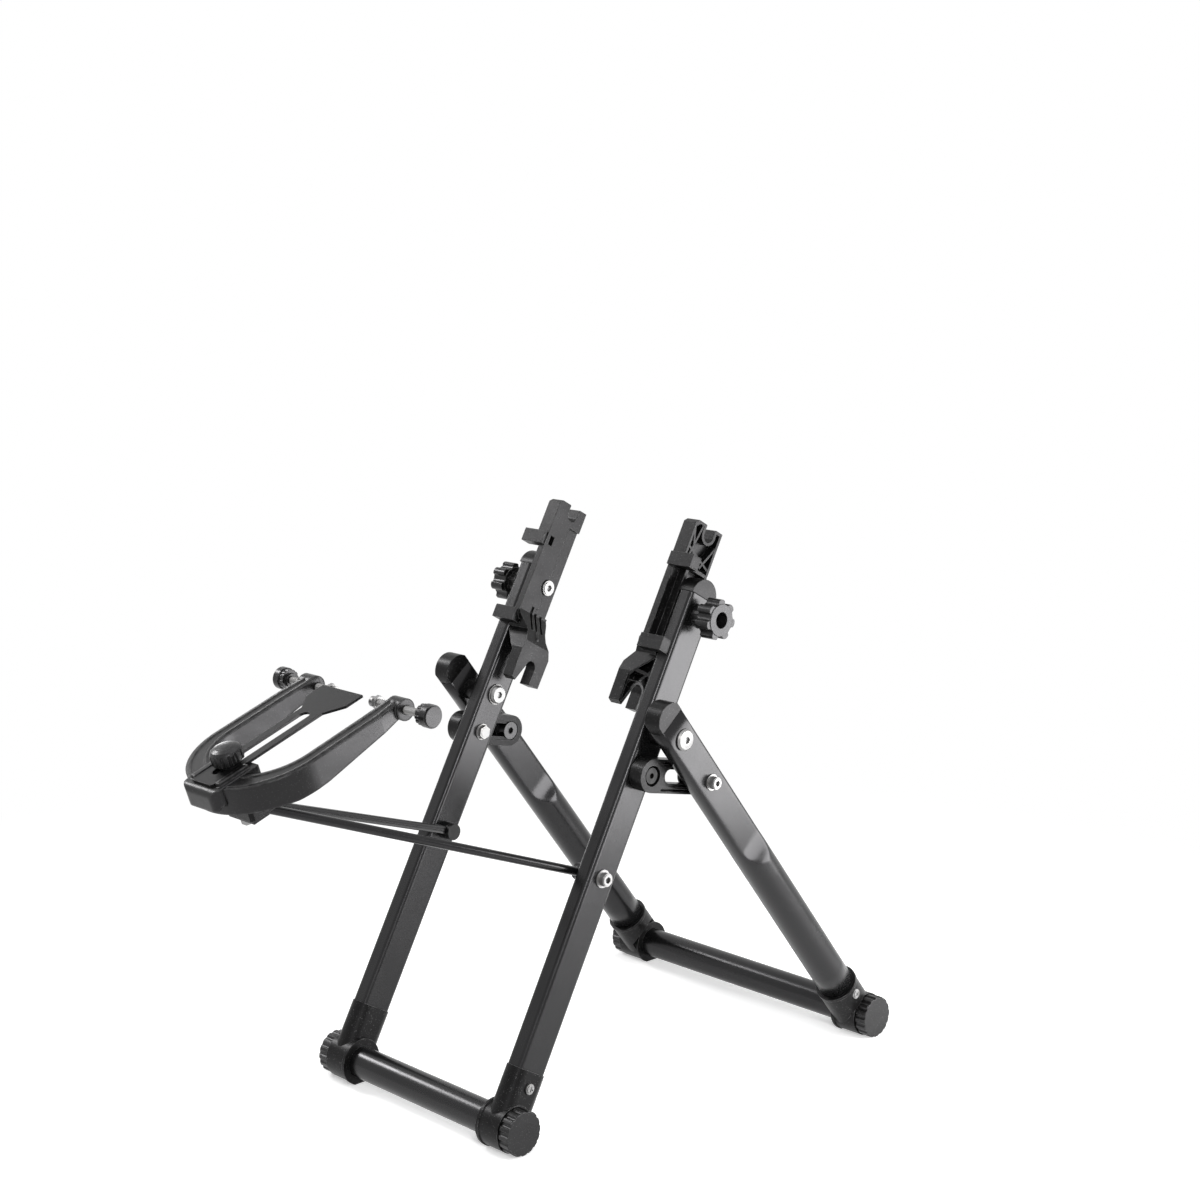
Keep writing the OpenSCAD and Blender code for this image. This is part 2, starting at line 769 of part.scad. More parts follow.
module calliper_frame() {
    on_cal()
        difference() {
            union() {
                difference() {
                    frame_solid(0, 0);
                    // hollow underside of the moulding
                    translate([0, 0, -frame_t]) frame_solid(frame_t, -2);
                }
                // raised bead round the top face
                translate([0, 0, -eps])
                    linear_extrude(height = 0.7)
                        difference() {
                            u_plan(2.2);
                            u_plan(4.0);
                        }
                // feeler bosses at the arm ends
                for (s = [-1, 1])
                    side(s) translate([0, boss_w - 4, boss_n]) xcyl(u_in + 1, u_half + 0.6, 8.2);
                // stiffening webs inside the hollow
                for (s = [-1, 1])
                    for (w = [arm_end - 70, arm_end - 44, arm_end - 20])
                        side(s) translate([u_in + 1, w, -10.6]) cube([u_half - u_in - 2.5, 2, 9]);
                // floor under the guide block
                translate([-19, -21, -frame_drop + 0.5]) cube([38, 12, frame_drop - 9]);
            }
            for (s = [-1, 1])
                side(s) translate([0, boss_w - 4, boss_n]) xcyl(u_in - 10, u_half + 5, feeler_r + run);
            // step in the top of the front in which the guide block sits
            translate([-block_half - fit, -u_half, -12]) cube([2 * (block_half + fit), u_half + 4, u_half]);
        }
}

// guide block that carries the gauge plate at the front of the U
module calliper_block() {
    on_cal()
        difference() {
            union() {
                translate([-block_half, block_front, -12]) cube([2 * block_half, 12 - block_front, 13]);
                translate([-block_half, block_front, -15]) cube([2 * block_half, 4.5, 4]);
                for (s = [-1, 1])
                    side(s) translate([12.4, block_front + 9, 0]) cube([4.5, 27, 3.6]);
                // boss under the clamp
                translate([-11, -4.2, -frame_drop - 0.1]) cube([22, 14, frame_drop - 11.8]);
            }
            // rounded front corners
            for (s = [-1, 1])
                side(s)
                    difference() {
                        translate([block_half - 8, block_front - 1, -30]) cube([9, 9, 40]);
                        translate([block_half - 8, block_front + 8, -31]) cylinder(h = 42, r = 8);
                    }
            // round top front edge
            difference() {
                translate([-30, block_front - 1, -4]) cube([60, 6, 6]);
                translate([0, block_front + 5, -4]) xcyl(-31, 31, 5);
            }
            translate([0, clamp_w, -40]) cylinder(h = 60, r = 3 + fit);
        }
}

// lower block that grips the two rods
module rod_block() {
    on_cal()
        difference() {
            union() {
                translate([-18, -6, -37]) cube([36, 27, 36.8 - frame_drop]);
                translate([-15, -3.5, -40.5]) cube([30, 22, 3.6]);
            }
            for (s = [-1, 1])
                side(s)
                    translate([18, -6, -30]) rotate([0, 0, 45]) cube([4, 4, 14], center = true);
            translate([0, clamp_w, -60]) cylinder(h = 60, r = 3 + fit);
            rod_cuts();
        }
}

module rod_cuts() {
    // bores for the rods, drawn in the calliper's own frame
    for (s = [-1, 1])
        side(s)
            rotate([-cal_tilt, 0, 0])
                translate([0, -cal_y, -cal_z]) rod_bore();
}

module rod_bore() {
    a = [rod_eye_x + 4, rod_pv_y, rod_pv_z];
    b = [rod_end[0], rod_end_y, rod_end_z];
    d = b - a;
    len = norm(d);
    translate(a)
        rotate([0, acos(d[2] / len), atan2(d[1], d[0])])
            cylinder(h = len + 0.3, r = rod_r + 0.05);
}

// slotted steel plate that shows the rim's height, flared to a straight edge
plate_n = 1.05;
plate_t = 2;
plate_from = -24;
plate_to = boss_w - 12;
slot_start = -8;
slot_end = plate_to - 38.5;

module gauge_plate() {
    on_cal()
        translate([0, 0, plate_n])
            difference() {
                linear_extrude(height = plate_t)
                    polygon([[-12, plate_from + 2], [-10, plate_from], [10, plate_from], [12, plate_from + 2],
                        [12, plate_to - 30.5], [23, plate_to - 16.5], [23, plate_to],
                        [-23, plate_to], [-23, plate_to - 16.5], [-12, plate_to - 30.5]]);
                translate([0, slot_start, -1]) cylinder(h = 5, r = 4.8);
                translate([0, slot_end, -1]) cylinder(h = 5, r = 4.8);
                translate([-4.8, slot_start, -1]) cube([9.6, slot_end - slot_start, 5]);
            }
}

module clamp_screw() {
    on_cal()
        translate([0, clamp_w, 0])
            union() {
                translate([0, 0, -44]) cylinder(h = 58, r = 3);
                translate([0, 0, -44.5]) cylinder(h = 4, r = 5.6, $fn = 6);
            }
}

// fluted clamp knob that presses the plate on its block
module clamp_knob() {
    on_cal()
        translate([0, clamp_w, plate_n + plate_t + 0.05])
            difference() {
                rotate_extrude()
                    polygon([[3 + run, 0], [8.5, 0], [8.5, 2.6], [12, 3.2], [12, 10.2], [11.2, 11.8],
                        [9.6, 13], [6.5, 14], [3, 14.5], [0, 14.6], [0, 11.4], [3 + run, 11.4]]);
                for (i = [0:13])
                    rotate([0, 0, i * 360 / 14])
                        translate([12.8, 0, 2.9]) cylinder(h = 8.2, r = 1.7, $fn = 24);
            }
}

// feeler screws along X, drawn at their resting depth
module feeler_screw() {
    on_cal()
        translate([0, boss_w - 4, boss_n]) {
            xcyl(feeler_gap / 2 + 3, knob_x + 9.6, feeler_r);
            xhex(feeler_gap / 2 + 5.4, feeler_gap / 2 + 9, 9.5);
        }
}

module feeler_knob() {
    on_cal()
        translate([0, boss_w - 4, boss_n])
            difference() {
                union() {
                    xcyl(knob_x - 2.4, knob_x + eps, 5.2);
                    xcyl(knob_x, knob_x + 5, 7.9);
                    xcyl(knob_x + 5 - eps, knob_x + 10.8, 8.6);
                    xcyl(knob_x + 10.8 - eps, knob_x + 12, 7.6);
                }
                xcyl(knob_x - 3, knob_x + 9.6, feeler_r);
                for (i = [0:11])
                    rotate([i * 30, 0, 0])
                        translate([0, 8.9, 0]) xcyl(knob_x - 1, knob_x + 5, 1.5);
            }
}

module feeler_pad() {
    on_cal()
        translate([0, boss_w - 4, boss_n])
            difference() {
                union() {
                    xcyl(feeler_gap / 2, feeler_gap / 2 + 1, 2.6);
                    xcyl(feeler_gap / 2 + 1 - eps, feeler_gap / 2 + 4.8, 3.9);
                }
                xcyl(feeler_gap / 2 + 2.9, feeler_gap / 2 + 6, feeler_r + run);
            }
}

// ---- nodes ----
module right_upright() { color(black) upright(); }
module left_upright() { color(black) side(-1) upright(); }
module right_upright_cap() { color(plastic) on_upright(0) translate([upright_x, 0, 0]) tube_cap(upright_len) rrect(tube_t, tube_w + 6, tube_r); }
module left_upright_cap() { color(plastic) side(-1) on_upright(0) translate([upright_x, 0, 0]) tube_cap(upright_len) rrect(tube_t, tube_w + 6, tube_r); }
module front_crossbar() { color(black) crossbar(upright_x + front_out, front_y); }
module front_right_foot_socket() { color(plastic) front_socket(); }
module front_left_foot_socket() { color(plastic) side(-1) front_socket(); }
module front_right_end_knob() { color(plastic) end_knob(upright_x + front_out, front_y); }
module front_left_end_knob() { color(plastic) side(-1) end_knob(upright_x + front_out, front_y); }
module front_right_foot_screw() { color(zinc) front_screw(); }
module front_left_foot_screw() { color(zinc) side(-1) front_screw(); }
module right_rear_leg() { color(black) rear_leg(); }
module left_rear_leg() { color(black) side(-1) rear_leg(); }
module right_leg_cap() { color(plastic) on_leg(0) translate([leg_x, 0, 0]) tube_cap(leg_top) leg_section(0); }
module left_leg_cap() { color(plastic) side(-1) on_leg(0) translate([leg_x, 0, 0]) tube_cap(leg_top) leg_section(0); }
module rear_crossbar() { color(black) crossbar(leg_x + rear_out, rear_y); }
module rear_right_foot_socket() { color(plastic) rear_socket(); }
module rear_left_foot_socket() { color(plastic) side(-1) rear_socket(); }
module rear_right_end_knob() { color(plastic) end_knob(leg_x + rear_out, rear_y); }
module rear_left_end_knob() { color(plastic) side(-1) end_knob(leg_x + rear_out, rear_y); }
module rear_right_foot_screw() { color(zinc) rear_screw(); }
module rear_left_foot_screw() { color(zinc) side(-1) rear_screw(); }
module right_pivot_bolt() { color(zinc) pivot_bolt(); }
module left_pivot_bolt() { color(zinc) side(-1) pivot_bolt(); }
module right_pivot_spacer() { color(plastic) pivot_spacer(); }
module left_pivot_spacer() { color(plastic) side(-1) pivot_spacer(); }
module right_brace() { color(plastic) brace(); }
module left_brace() { color(plastic) side(-1) brace(); }
module right_brace_bolt() { color(zinc) brace_bolt(); }
module left_brace_bolt() { color(zinc) side(-1) brace_bolt(); }
module right_slot_stud() { color(zinc) slot_stud(); }
module left_slot_stud() { color(zinc) side(-1) slot_stud(); }
module right_slot_bush() { color(zinc) slot_bush(); }
module left_slot_bush() { color(zinc) side(-1) slot_bush(); }
module right_hub_bracket() { color(plastic) side(-1) side(-1) hub_bracket(); }
module left_hub_bracket() { color(plastic) side(-1) hub_bracket(); }
module right_bracket_bolt() { color(zinc) bracket_bolt(); }
module left_bracket_bolt() { color(zinc) side(-1) bracket_bolt(); }
module right_star_knob() { color(plastic) star_knob(); }
module left_star_knob() { color(plastic) side(-1) star_knob(); }
module right_arm_rod() { color(black) arm_rod(); }
module left_arm_rod() { color(black) side(-1) arm_rod(); }
module right_arm_bolt() { color(zinc) arm_bolt(); }
module left_arm_bolt() { color(zinc) side(-1) arm_bolt(); }
module right_feeler_screw() { color(zinc) feeler_screw(); }
module left_feeler_screw() { color(zinc) side(-1) feeler_screw(); }
module right_feeler_knob() { color(plastic) feeler_knob(); }
module left_feeler_knob() { color(plastic) side(-1) feeler_knob(); }
module right_feeler_pad() { color(zinc) feeler_pad(); }
module left_feeler_pad() { color(zinc) side(-1) feeler_pad(); }

right_upright();
left_upright();
right_upright_cap();
left_upright_cap();
front_crossbar();
front_right_foot_socket();
front_left_foot_socket();
front_right_end_knob();
front_left_end_knob();
front_right_foot_screw();
front_left_foot_screw();
right_rear_leg();
left_rear_leg();
right_leg_cap();
left_leg_cap();
rear_crossbar();
rear_right_foot_socket();
rear_left_foot_socket();
rear_right_end_knob();
rear_left_end_knob();
rear_right_foot_screw();
rear_left_foot_screw();
right_pivot_bolt();
left_pivot_bolt();
right_pivot_spacer();
left_pivot_spacer();
right_brace();
left_brace();
right_brace_bolt();
left_brace_bolt();
right_slot_stud();
left_slot_stud();
right_slot_bush();
left_slot_bush();
right_hub_bracket();
left_hub_bracket();
right_bracket_bolt();
left_bracket_bolt();
right_star_knob();
left_star_knob();
right_arm_rod();
left_arm_rod();
right_arm_bolt();
left_arm_bolt();
color(plastic) calliper_frame();
color(plastic) calliper_block();
color(plastic) rod_block();
color(black) gauge_plate();
color(zinc) clamp_screw();
color(plastic) clamp_knob();
right_feeler_screw();
left_feeler_screw();
right_feeler_knob();
left_feeler_knob();
right_feeler_pad();
left_feeler_pad();
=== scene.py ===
"""Folding bicycle wheel truing stand: its materials, the pieces that are better drawn here
than in the solids, the studio and the camera. Lengths are metres."""
import json
import math

import bmesh
import bpy
from mathutils import Matrix, Vector


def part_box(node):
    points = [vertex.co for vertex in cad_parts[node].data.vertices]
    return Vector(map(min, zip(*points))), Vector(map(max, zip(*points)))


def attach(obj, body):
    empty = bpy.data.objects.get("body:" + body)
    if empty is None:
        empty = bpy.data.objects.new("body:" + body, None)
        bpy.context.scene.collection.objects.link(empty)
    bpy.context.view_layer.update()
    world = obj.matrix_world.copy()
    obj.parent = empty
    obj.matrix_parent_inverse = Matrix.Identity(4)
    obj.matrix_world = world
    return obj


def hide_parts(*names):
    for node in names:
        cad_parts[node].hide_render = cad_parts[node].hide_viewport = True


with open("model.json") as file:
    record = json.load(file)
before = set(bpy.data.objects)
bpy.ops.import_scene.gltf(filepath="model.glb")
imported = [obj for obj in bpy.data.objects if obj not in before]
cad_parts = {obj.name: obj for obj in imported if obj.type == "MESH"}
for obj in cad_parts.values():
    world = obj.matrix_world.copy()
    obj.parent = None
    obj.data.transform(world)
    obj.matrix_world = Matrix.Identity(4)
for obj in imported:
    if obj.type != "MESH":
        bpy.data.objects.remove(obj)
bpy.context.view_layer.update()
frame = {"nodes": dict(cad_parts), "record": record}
NODES = frame["nodes"]

# ---- camera, solved from the photograph: degrees, and pixels of a 1200 x 1200 image ----
CAM_AT = Vector((1.271849, -1.176559, 0.719695))
CAM_YAW = 47.7509
CAM_PITCH = 6.8060
CAM_ROLL = -0.6098
FOCAL_PX = 2265.16
CENTRE_PX = (486.32, 440.0)
IMAGE_PX = 1200
SENSOR_MM = 36.0

# ---- studio levels ----
WORLD_LEVEL = 0.35
FLOOR_LIFT = 0.45
FLOOR_RADIUS = 14
FLOOR_GREYS = (0.86, 0.88)
# floor turns to plain white between these distances from the middle
FLOOR_FADE = (0.38, 0.95)
# name, place, aim, width and height, radiance
LIGHTS = (
    ("top", (0.1, 0.0, 2.0), (0, 0, 0.2), (1.5, 1.5), 1.2),
    ("side", (0.60, 0.49, 0.24), (-0.33, 0.12, 0.24), (0.56, 0.44), 10.0),
    ("left", (-1.66, -0.52, 1.48), (0, -0.25, 0.02), (0.45, 0.5), 26.0),
    ("rim", (-1.35, 0.46, 0.42), (0, 0, 0.28), (0.22, 0.8), 4.0),
    ("key", (1.33, -1.05, 1.22), (0, 0, 0.25), (0.34, 0.5), 26.0),
)


def make_camera():
    yaw, pitch, roll = (math.radians(a) for a in (CAM_YAW, CAM_PITCH, CAM_ROLL))
    ahead = Vector((-math.sin(yaw) * math.cos(pitch),
                    math.cos(yaw) * math.cos(pitch),
                    -math.sin(pitch)))
    level = Vector((math.cos(yaw), math.sin(yaw), 0))
    up = level.cross(ahead)
    right = math.cos(roll) * level + math.sin(roll) * up
    top = -math.sin(roll) * level + math.cos(roll) * up
    data = bpy.data.cameras.new("camera")
    data.sensor_width = SENSOR_MM
    data.lens = FOCAL_PX * SENSOR_MM / IMAGE_PX
    data.shift_x = (IMAGE_PX / 2 - CENTRE_PX[0]) / IMAGE_PX
    data.shift_y = (CENTRE_PX[1] - IMAGE_PX / 2) / IMAGE_PX
    cam = bpy.data.objects.new("camera", data)
    turn = Matrix((right, top, -ahead)).transposed().to_4x4()
    cam.matrix_world = Matrix.Translation(CAM_AT) @ turn
    bpy.context.collection.objects.link(cam)
    bpy.context.scene.camera = cam


# ---- materials ----
BLACKENED = 0.025
SHEEN_TINT = (0.985, 0.97, 1.0, 1.0)
# part of a noise texture's values that is spread over a whole range: the narrower, the
# stronger the patches
NARROW_BAND = (0.35, 0.65)
WIDE_BAND = (0.3, 0.7)
# cosine between the flat and the rounded normal, off an edge and on it
EDGE_BAND = (0.995, 0.85)
# how far edges turn to the pale grey (edge wear with a painted edge highlight), and how far
# specks turn to it
COAT_WEAR_AND_HIGHLIGHT = 0.55
MOULDED_WEAR_AND_HIGHLIGHT = 0.6
SPECKS = 0.25
# sockets of a colour Mix node, which has them once for each kind of data
MIX_A, MIX_B, MIX_OUT = 6, 7, 2


class Nodes:
    """Short calls for building one material's node tree."""

    def __init__(self, name):
        self.mat = bpy.data.materials.new(name)
        self.mat.use_nodes = True
        self.tree = self.mat.node_tree
        self.tree.nodes.clear()
        self.coords = self.add("ShaderNodeTexCoord").outputs["Object"]

    def add(self, kind, **settings):
        node = self.tree.nodes.new(kind)
        for key, value in settings.items():
            setattr(node, key, value)
        return node

    def put(self, value, socket):
        if isinstance(value, bpy.types.NodeSocket):
            self.tree.links.new(value, socket)
        else:
            socket.default_value = value

    def noise(self, scale, detail=3.0, rough=0.55, stretch=(1, 1, 1)):
        mapping = self.add("ShaderNodeMapping")
        mapping.inputs["Scale"].default_value = stretch
        self.put(self.coords, mapping.inputs["Vector"])
        tex = self.add("ShaderNodeTexNoise")
        tex.inputs["Scale"].default_value = scale
        tex.inputs["Detail"].default_value = detail
        tex.inputs["Roughness"].default_value = rough
        self.put(mapping.outputs["Vector"], tex.inputs["Vector"])
        return tex.outputs["Fac"]

    def math(self, kind, a, b=0.0, clamp=False):
        node = self.add("ShaderNodeMath", operation=kind, use_clamp=clamp)
        self.put(a, node.inputs[0])
        self.put(b, node.inputs[1])
        return node.outputs[0]

    def span(self, value, low, high, to_low=0.0, to_high=1.0):
        node = self.add("ShaderNodeMapRange")
        for key, v in zip(("Value", "From Min", "From Max", "To Min", "To Max"),
                          (value, low, high, to_low, to_high)):
            self.put(v, node.inputs[key])
        return node.outputs[0]

    def blend(self, fac, a, b):
        node = self.add("ShaderNodeMix", data_type="RGBA")
        self.put(fac, node.inputs["Factor"])
        self.put(a, node.inputs[MIX_A])
        self.put(b, node.inputs[MIX_B])
        return node.outputs[MIX_OUT]

    def edge(self, radius, samples=6):
        """Rounded normal near edges, and a mask that is 1 on the very edge."""
        bevel = self.add("ShaderNodeBevel", samples=samples)
        bevel.inputs["Radius"].default_value = radius
        flat = self.add("ShaderNodeNewGeometry").outputs["Normal"]
        dot = self.add("ShaderNodeVectorMath", operation="DOT_PRODUCT")
        self.put(bevel.outputs["Normal"], dot.inputs[0])
        self.put(flat, dot.inputs[1])
        return bevel.outputs["Normal"], self.span(dot.outputs["Value"], *EDGE_BAND)

    def bump(self, height, strength, distance, normal=None):
        node = self.add("ShaderNodeBump")
        node.inputs["Strength"].default_value = strength
        node.inputs["Distance"].default_value = distance
        self.put(height, node.inputs["Height"])
        if normal is not None:
            self.put(normal, node.inputs["Normal"])
        return node.outputs["Normal"]

    def finish(self, colour, roughness, normal, metallic=0.0, specular=0.5):
        shader = self.add("ShaderNodeBsdfPrincipled")
        shader.inputs["Metallic"].default_value = metallic
        shader.inputs["Specular IOR Level"].default_value = specular
        shader.inputs["Specular Tint"].default_value = SHEEN_TINT
        self.put(colour, shader.inputs["Base Color"])
        self.put(roughness, shader.inputs["Roughness"])
        self.put(normal, shader.inputs["Normal"])
        out = self.add("ShaderNodeOutputMaterial")
        self.put(shader.outputs["BSDF"], out.inputs["Surface"])
        return self.mat


def grey(v, tint=0.0):
    """Dark neutral with a slight cool or warm tint."""
    return (v * (1 + tint), v, v * (1 - tint), 1)


def coated(name, base, wear_highlight_grey, rough, edge_r, grain, depth, specular):
    """Powder coat or lacquer: faint orange peel, uneven gloss, and slightly paler edges that are
    edge wear with a painted edge highlight.
    """
    n = Nodes(name)
    cloud = n.noise(22, detail=4)
    fine = n.noise(grain, detail=2)
    edge_n, edge_m = n.edge(edge_r)
    colour = n.blend(n.span(cloud, *NARROW_BAND),
                     grey(base * 0.86, -0.02), grey(base * 1.14, -0.01))
    # paler broken edges: edge wear together with a painted edge highlight
    breaks = n.span(n.noise(260), 0.42, 0.6)
    wear_and_highlight = n.math("MULTIPLY", edge_m, breaks, clamp=True)
    colour = n.blend(n.math("MULTIPLY", wear_and_highlight, COAT_WEAR_AND_HIGHLIGHT), colour, grey(wear_highlight_grey))
    gloss = n.math("ADD", n.span(cloud, *WIDE_BAND, rough - 0.045, rough + 0.045),
                   n.span(fine, *WIDE_BAND, -0.03, 0.03))
    normal = n.bump(fine, 0.22, depth, edge_n)
    return n.finish(colour, gloss, normal, specular=specular)


def moulded(name, base, wear_highlight_grey, rough, edge_r, grain, depth, specular):
    """Glass-filled nylon: spark-eroded grain, flow clouds, and rubbed edges that also carry a
    painted edge highlight.
    """
    n = Nodes(name)
    flow = n.noise(30, detail=4, stretch=(1, 1, 2.2))
    fine = n.noise(grain, rough=0.65)
    edge_n, edge_m = n.edge(edge_r)
    colour = n.blend(n.span(flow, *NARROW_BAND), grey(base * 0.85, 0.01), grey(base * 1.15))
    specks = n.span(n.noise(900, detail=2), 0.62, 0.72)
    colour = n.blend(n.math("MULTIPLY", specks, SPECKS), colour, grey(wear_highlight_grey))
    # paler broken edges: rubbed wear together with a painted edge highlight
    breaks = n.span(n.noise(180), 0.38, 0.6)
    wear_and_highlight = n.math("MULTIPLY", edge_m, breaks, clamp=True)
    colour = n.blend(n.math("MULTIPLY", wear_and_highlight, MOULDED_WEAR_AND_HIGHLIGHT), colour, grey(wear_highlight_grey))
    gloss = n.math("ADD", n.span(flow, *WIDE_BAND, rough - 0.05, rough + 0.05),
                   n.span(fine, *WIDE_BAND, -0.05, 0.05))
    normal = n.bump(fine, 0.35, depth, edge_n)
    return n.finish(colour, gloss, normal, specular=specular)


def plated(name, base, rough, edge_r, dark=None):
    """Bright zinc plate: brushed lines round the turning axis, small dull patches.

    dark gives two distances from the middle of the stand. What lies between them is blackened."""
    n = Nodes(name)
    patch = n.noise(160, detail=4)
    lines = n.noise(900, detail=2, stretch=(6, 1, 1))
    edge_n, edge_m = n.edge(edge_r, samples=4)
    colour = n.blend(n.span(patch, *NARROW_BAND), grey(base * 0.82, 0.02), grey(base))
    if dark:
        place = n.add("ShaderNodeSeparateXYZ")
        n.put(n.coords, place.inputs[0])
        away = n.math("ABSOLUTE", place.outputs["X"])
        black = n.math("MULTIPLY", n.math("GREATER_THAN", away, dark[0]),
                       n.math("LESS_THAN", away, dark[1]))
        colour = n.blend(black, colour, grey(BLACKENED))
    gloss = n.math("ADD", n.span(patch, *WIDE_BAND, rough - 0.06, rough + 0.08),
                   n.math("MULTIPLY", edge_m, -0.05))
    normal = n.bump(lines, 0.15, 0.00003, edge_n)
    return n.finish(colour, gloss, normal, metallic=1.0)


# base grey, pale grey for worn edges with their painted highlight (and the moulded specks),
# roughness, edge radius, grain scale and depth, specular level
COATED = {
    "powder_coat": (0.005, 0.08, 0.25, 0.0007, 1500, 0.00002, 0.32),
    "gloss_rod": (0.005, 0.06, 0.18, 0.0004, 900, 0.00002, 0.32),
    "plate_steel": (0.004, 0.20, 0.36, 0.0004, 1600, 0.00003, 0.22),
    "black_oxide": (0.006, 0.15, 0.30, 0.0004, 1300, 0.00003, 0.5),
}
MOULDED = {
    "knob_plastic": (0.005, 0.20, 0.30, 0.0006, 1700, 0.00006, 0.32),
    "moulded_plastic": (0.004, 0.26, 0.33, 0.0006, 1800, 0.00006, 0.15),
    # painted shade of the gap under each tube cap
    "seam": (0.002, 0.01, 0.7, 0.0001, 1700, 0.00002, 0.1),
    "cast_plastic": (0.005, 0.10, 0.33, 0.0022, 1800, 0.00006, 0.30),
}
# zinc's grey, roughness and edge radius
ZINC = (0.27, 0.45, 0.0003)
# zinc finishes, and the distances from the stand's middle between which each is blackened
PLATED = {
    "bright_zinc": None,
    "black_head": (0.100, 1.0),
    "black_inside": (0.0, 0.083),
}


def make_materials():
    made = {name: coated(name, *values) for name, values in COATED.items()}
    made.update((name, plated(name, *ZINC, dark)) for name, dark in PLATED.items())
    made.update((name, moulded(name, *values)) for name, values in MOULDED.items())
    return made


# pieces whose finish differs from the rest of their slot
FINISHES = {
    "calliper_frame": "cast_plastic",
    "calliper_block": "cast_plastic",
    "right_brace_bolt": "black_head",
    "left_brace_bolt": "black_head",
    "right_arm_bolt": "black_inside",
    "left_arm_bolt": "black_inside",
    "right_slot_bush": "black_oxide",
    "left_slot_bush": "black_oxide",
}


def paint_nodes(materials):
    for part in frame["record"]["subparts"]:
        obj = NODES[part["node"]]
        finish = FINISHES.get(part["node"], part["material_slot"])
        for slot in obj.material_slots:
            slot.material = materials[finish]


# ---- pieces made here ----
def joint(name):
    return next(j for j in frame["record"]["behaviour"]["joints"] if j["name"] == name)


def loft(name, rings, material):
    """Closed skin over rings of points, with a flat face at each end."""
    count = len(rings[0])
    verts = [point for ring in rings for point in ring]
    faces = []
    for r in range(len(rings) - 1):
        for i in range(count):
            j = (i + 1) % count
            faces.append((r * count + i, r * count + j, (r + 1) * count + j, (r + 1) * count + i))
    last = (len(rings) - 1) * count
    faces.append(tuple(range(count - 1, -1, -1)))
    faces.append(tuple(range(last, last + count)))
    mesh = bpy.data.meshes.new(name)
    mesh.from_pydata(verts, [], faces)
    bm = bmesh.new()
    bm.from_mesh(mesh)
    bmesh.ops.recalc_face_normals(bm, faces=bm.faces)
    bm.to_mesh(mesh)
    bm.free()
    for poly in mesh.polygons:
        poly.use_smooth = len(poly.vertices) == 4
    mesh.materials.append(material)
    obj = bpy.data.objects.new(name, mesh)
    bpy.context.collection.objects.link(obj)
    return obj


def smooth(value, low, high):
    """0 below low, 1 above high, and an easy curve between them."""
    t = min(max((value - low) / (high - low), 0.0), 1.0)
    return t * t * (3 - 2 * t)


def ring_angles(count):
    return [2 * math.pi * i / count for i in range(count)]


def tube_line(bar_joint):
    """A tube's line: a point on its crossbar, the directions up to the fold pivot and across
    the tube, and the length from crossbar to pivot."""
    bar = Vector(joint(bar_joint)["pos_m"])
    pivot = Vector(joint("rear_frame_fold")["pos_m"])
    run = Vector((0, pivot.y - bar.y, pivot.z - bar.z))
    along = run / run.length
    return bar, along, Vector((0, along.z, -along.y)), run.length


# rear leg: a round tube whose upper part is pressed flat, the dent drawn out softly
LEG_R = 0.0148
LEG_FLAT = 0.0075
LEG_FOOT = 0.024
LEG_HEAD = 0.0205
DENT = (0.188, 0.226)
CORNER_POWER = 9
LEG_POINTS = 64
# places of the rings along the leg: far apart where it is straight, close through the dent
ROUND_STEPS = (LEG_FOOT, 0.06, 0.12, 0.165)
DENT_FROM, DENT_STEP, DENT_RINGS = 0.17, 0.002, 40
FLAT_STEPS = (0.27, 0.31)


def pressed_leg(side, material):
    bar, along, across, length = tube_line("rear_right_end_knob_turn")
    low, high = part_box(side + "_rear_leg")
    middle = (low[0] + high[0]) / 2
    dent_steps = [DENT_FROM + DENT_STEP * i for i in range(DENT_RINGS)]
    steps = [*ROUND_STEPS, *dent_steps, *FLAT_STEPS, length, length + LEG_HEAD]
    rings = []
    for s in steps:
        press = smooth(s, *DENT) / LEG_FLAT
        centre = Vector((middle, bar.y, bar.z)) + along * s
        ring = []
        for a in ring_angles(LEG_POINTS):
            x = LEG_R * math.cos(a)
            x /= (1 + abs(x * press) ** CORNER_POWER) ** (1 / CORNER_POWER)
            ring.append(centre + Vector((x, 0, 0)) + across * (LEG_R * math.sin(a)))
        rings.append(ring)
    leg = loft(side + "_pressed_leg", rings, material)
    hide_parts(side + "_rear_leg")
    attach(leg, "rear_frame")


# feeler screws with their threads, and a hexagon nut on each
THREAD_CREST = 0.003
THREAD_ROOT = 0.00262
THREAD_PITCH = 0.001
THREAD_ROWS = 6
THREAD_POINTS = 28
# steepness and sink that leave a flat crest and a flat root on the thread
THREAD_STEEP, THREAD_SINK = 1.5, 0.25
NUT_AT = (0.0254, 0.0290)
NUT_ACROSS = 0.0095
NUT_CHAMFER = 0.0004
NUT_POINTS = 24
NUT_TURN = math.radians(19.5)


def x_ring(x, axle, points):
    """Ring round a line along x, from pairs of angle and radius."""
    return [Vector((x, axle.y + radius * math.cos(a), axle.z + radius * math.sin(a)))
            for a, radius in points]


